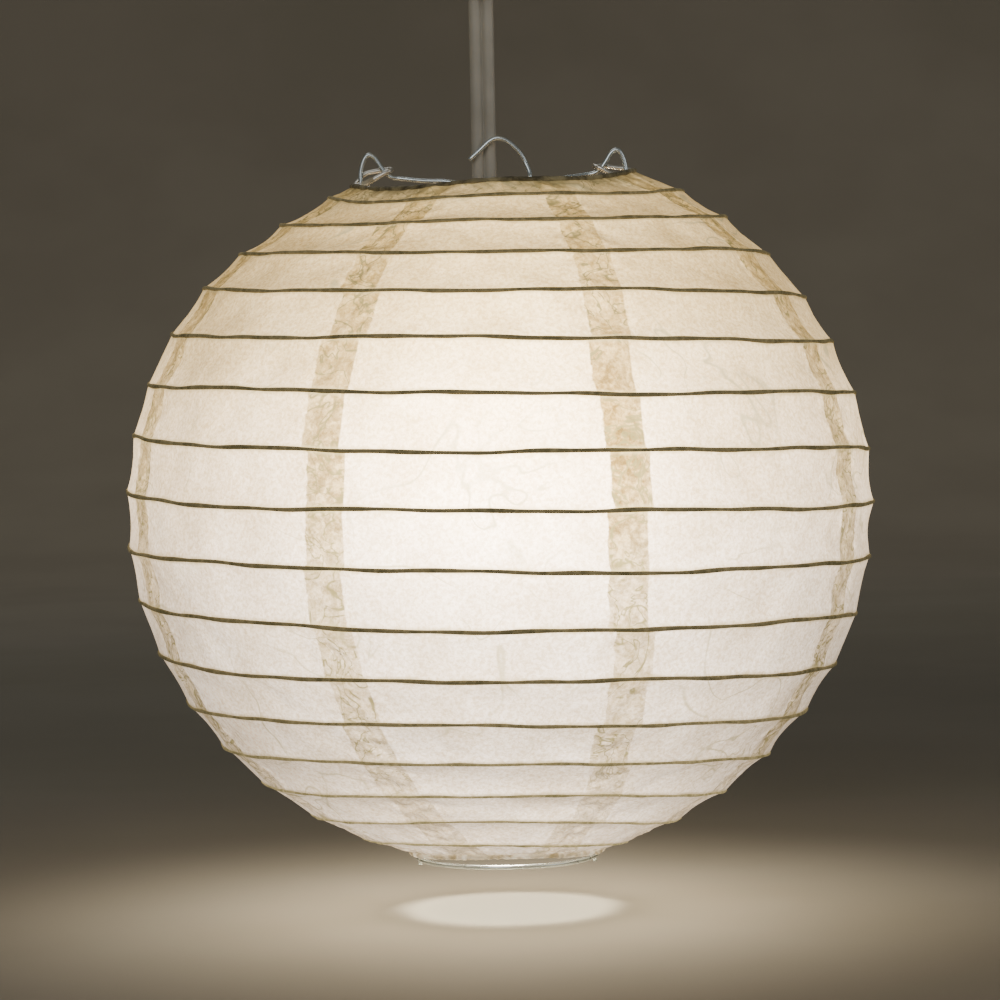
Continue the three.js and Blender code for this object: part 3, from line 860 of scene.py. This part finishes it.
def make_rings():
    top_radius, bottom_radius = shade_at(0.0)[0], shade_at(ALL_TURNS)[0]
    ring = wire("top_ring_visual", top_ring_path(top_radius), RING_WIRE)
    place(ring, "hanger", "ring_wire", "top_ring")
    loop = ring_arc(bottom_radius, 90.5, 449.5, 28, BOTTOM_RING_Z)
    ring = wire("bottom_ring_visual", loop, RING_WIRE)
    place(ring, "shade_bottom", "ring_wire", "bottom_ring")
    ear_room = 6.0
    for name, start in (("front", 180 + ear_room), ("back", ear_room)):
        end = start + 180 - 2 * ear_room
        hem = hem_roll(f"top_hem_{name}", top_radius + 0.2, TOP_RING_Z, start, end, 0.72, SHADED_TOP_HEM)
        place(hem, "hanger", "paper_edge", "top_hem")
    radius = bottom_radius + 0.3
    hem = hem_roll("bottom_hem_roll", radius, BOTTOM_RING_Z, 92, 448, 0.85, LIT_BOTTOM_HEM)
    place(hem, "shade_bottom", "paper_edge", "bottom_hem")
    for name, side in (("left", -1), ("right", 1)):
        start = np.array((side * (top_radius - 4), -EAR_HALF_WIDTH, EAR_ROOT_Z - EAR_RISE))
        end = np.array((side * (EAR_TIP_X + 1.6), -EAR_HALF_WIDTH, EAR_TIP_Z - 0.3 - TIP_RISE))
        path = [start + (end - start) * u for u in np.linspace(-0.25, 0.3, 12)]
        wrap = sweep(
            f"ear_wrap_{name}_visual",
            path,
            lambda k: circle(0.8 + 0.08 * math.sin(k * 2.3), 14),
            TAPE,
        )
        place(wrap, "hanger", "paper_edge", f"ear_wrap_{name}")


make_rings()

# ---- the expander and its hook ----


def make_expander():
    def side_down(side):
        rises = [
            (19, -1.2, 0.5),
            (25, 0, 1.3),
            (27.6, 0, 1.7),
            (29.4, 0, 3),
            (30.9, 0, 5.1),
            (32.2, 0, 7.1),
            (33.6, 0, 7.9),
            (34.7, 0, 7.2),
            (35.7, 0, 4.8),
            (36.1, 0, 1.2),
            (35, 0, -5),
            (30.5, 0, -17),
            (26, 0, -29),
            (LEG_X + 0.4, 0, -36),
            (LEG_X, 0, -42),
            (LEG_X, 0, -BAR_Z),
            (LEG_X, 0, BOTTOM_RING_Z + 4 - BAR_Z),
            (LEG_X, 0, BOTTOM_RING_Z - BAR_Z),
            (LEG_X + 0.3, -0.5, BASE_Z + 0.9 - BAR_Z),
        ]
        return [(side * x, y, BAR_Z + dz) for x, y, dz in rises]

    path = [
        (COIL_X + 0.15, BAR_FRONT_Y, COIL_Z),
        (COIL_X + 3, BAR_FRONT_Y, COIL_Z),
        (14, -2.4, BAR_Z - 0.6),
        *side_down(1),
        *arc(BASE_RADIUS, -5, -175, 12, BASE_Z),
        *side_down(-1)[::-1],
        (-13, -2.4, BAR_Z + 0.2),
        (-8, BAR_FRONT_Y, BAR_Z - 0.5),
        (COIL_X - 3, BAR_FRONT_Y, COIL_Z),
        (COIL_X - 0.15, BAR_FRONT_Y, COIL_Z),
    ]
    expander = wire("expander_frame_visual", path, SPRING_WIRE)
    place(expander, "hanger", "spring_wire", "expander_frame")


def make_hook():
    coil_radius, coil_turns, steps_per_turn = 1.6, 2.5, 10
    points = []
    for i in range(int(coil_turns * steps_per_turn) + 1):
        turn = i / steps_per_turn
        angle = 2 * math.pi * turn - math.pi / 2
        x = COIL_X - 2 + 1.55 * turn
        y = BAR_FRONT_Y + coil_radius * math.cos(angle)
        points.append((x, y, COIL_Z + coil_radius * math.sin(angle)))
    curl = [
        (2.6, -1.1, 2),
        (2.7, -0.6, 3.4),
        (1.7, 0, 6),
        (0.6, 0, 8.2),
        (-0.8, 0, 10),
        (-3.2, 0, 12.1),
        (-5.7, 0, 13),
        (-8, 0, 12.2),
        (-10.8, 0, 9.7),
        (-13.4, 0, 7.4),
    ]
    points += [(COIL_X + dx, BAR_FRONT_Y + dy, COIL_Z + dz) for dx, dy, dz in curl]
    hook = wire("hanging_hook_visual", points, SPRING_WIRE)
    place(hook, "hook", "spring_wire", "hanging_hook")


make_expander()
make_hook()

# ---- the lamp ----


def make_lamp():
    relief = [
        (3.0, CORD_BOTTOM - 0.3),
        (3.7, CORD_BOTTOM - 1.2),
        *[(4.4 - 0.25 * (k % 2), 83.5 - 1.6 * k) for k in range(8)],
        (4.6, 70.2),
        (5.5, 69.3),
        (5.5, 66.3),
    ]
    relief = lathe("strain_relief_visual", relief, PLASTIC, CORD_X)
    place(relief, "hanger", "white_plastic", "strain_relief")
    cap = [(8, 66), (12, 64.2), (13.6, 62), (SOCKET_RADIUS, 60.5), (SOCKET_RADIUS, 58.3)]
    cap = lathe("socket_cap_visual", cap, PLASTIC, CORD_X)
    place(cap, "hanger", "white_plastic", "socket_cap")
    shell = [
        (SOCKET_RADIUS, 58),
        (SOCKET_RADIUS, 56.5),
        *[(SOCKET_RADIUS - 0.5 * (k % 2), 55.5 - 1.2 * k) for k in range(12)],
        (SOCKET_RADIUS, 41),
        (SOCKET_RADIUS, 29),
        (SOCKET_RADIUS - 1, 28),
        (SOCKET_RADIUS - 3.5, 28),
        (SOCKET_RADIUS - 3.5, 55),
    ]
    shell = lathe("socket_shell_visual", shell, PLASTIC, CORD_X)
    place(shell, "hanger", "white_plastic", "socket_shell")
    for name in ("socket_thread", "socket_contact", "bulb_tip"):
        node = frame["nodes"][name]
        node.data.materials.clear()
        node.data.materials.append(BRASS)
    thread = [(5, 49), (6.5, 47.6)]
    for k in range(9):
        thread.append((6.3 + 0.6 * ((k + 1) % 2), 46.6 - 1.41 * k))
    thread += [(6.6, 33), (6.4, 32)]
    base = lathe("bulb_base_visual", thread, BRASS, CORD_X)
    place(base, "bulb", "brass", "bulb_base")
    neck = 6.6
    neck_angle = math.acos(neck / BULB_RADIUS)
    glass_top = BULB_Z + BULB_RADIUS * math.sin(neck_angle)
    glass = [(neck - 0.6, 31.7), (neck, 31.2), (neck + 0.4, glass_top + 1)]
    for angle in np.linspace(neck_angle - 0.06, -math.pi / 2 + 0.02, 40):
        glass.append((BULB_RADIUS * math.cos(angle), BULB_Z + BULB_RADIUS * math.sin(angle)))
    globe = lathe("bulb_glass_visual", glass, BULB, CORD_X)
    place(globe, "bulb", "bulb_glass", "bulb_glass")


make_lamp()

# ---- light ----


def soft_light(name, place_at, size, power):
    """A round soft light that faces the shade's middle."""
    data = bpy.data.lights.new(name, "AREA")
    data.shape = "DISK"
    data.size = size
    data.energy = power
    light = bpy.data.objects.new(name, data)
    bpy.context.scene.collection.objects.link(light)
    light.location = at(*place_at)
    direction = at(0, 0, 0) - light.location
    light.rotation_euler = direction.to_track_quat("-Z", "Y").to_euler()


def make_studio():
    """A pale floor that curves up into a plain backdrop, under dim soft light, with a painted pool
    of light under the lantern.
    """
    floor_z = -111.0
    half_width, front, bend, radius, top = 6000.0, -3000.0, 1500.0, 1200.0, 5000.0
    profile = [(front, floor_z), (bend, floor_z)]
    for angle in np.radians(np.linspace(0, 90, 24))[1:]:
        rise = radius * (1 - math.cos(angle))
        profile.append((bend + radius * math.sin(angle), floor_z + rise))
    profile.append((bend + radius, top))
    vertices = [at(side * half_width, y, z) for y, z in profile for side in (-1, 1)]
    n = Nodes("floor", Roughness=0.85)
    cloud = n.ramp(n.noise(6.0, 3.0), 0.3, 0.7)
    pale = n.mix(cloud, rgb(169, 168, 156), rgb(177, 176, 165))
    wall = n.mix(cloud, rgb(190, 182, 165), rgb(198, 190, 173))
    # painted pool of light: the floor stays pale under the lantern and is painted darker further
    # out
    painted_light_pool = n.ramp(n.distance((1.0, 1.0, 0.0)), 0.045, 0.188, 1.0, 0.0)
    far = n.ramp(n.distance((0.0, 1.0, 0.0)), 0.35, 2.1)
    dim = n.mix(1.0, pale, rgb(168, 164, 158), "MULTIPLY")
    n.colour(n.mix(painted_light_pool, n.mix(far, dim, wall), pale))
    faces = [(2 * k, 2 * k + 1, 2 * k + 3, 2 * k + 2) for k in range(len(profile) - 1)]
    floor = make_object("floor", vertices, faces, n.material)
    world = bpy.data.worlds.new("studio")
    world.use_nodes = True
    background = world.node_tree.nodes["Background"]
    background.inputs["Color"].default_value = rgb(214, 210, 200)
    background.inputs["Strength"].default_value = 0.16
    bpy.context.scene.world = world
    soft_light("key", (-350, -1300, 500), 0.9, 4.0)
    soft_light("fill", (900, -500, 300), 0.8, 1.5)
    soft_light("back", (-400, 800, 1300), 0.8, 3.0)
    lamp = bpy.data.lights.new("bulb_light", "POINT")
    lamp.energy = 1.2
    lamp.color = (1.0, 0.86, 0.66)
    lamp.shadow_soft_size = BULB_RADIUS * MM
    light = bpy.data.objects.new("bulb_light", lamp)
    bpy.context.scene.collection.objects.link(light)
    light.location = at(CORD_X, 0, BULB_Z - BULB_RADIUS - 3)
    light.parent = frame["bodies"]["bulb_travel"]


make_studio()
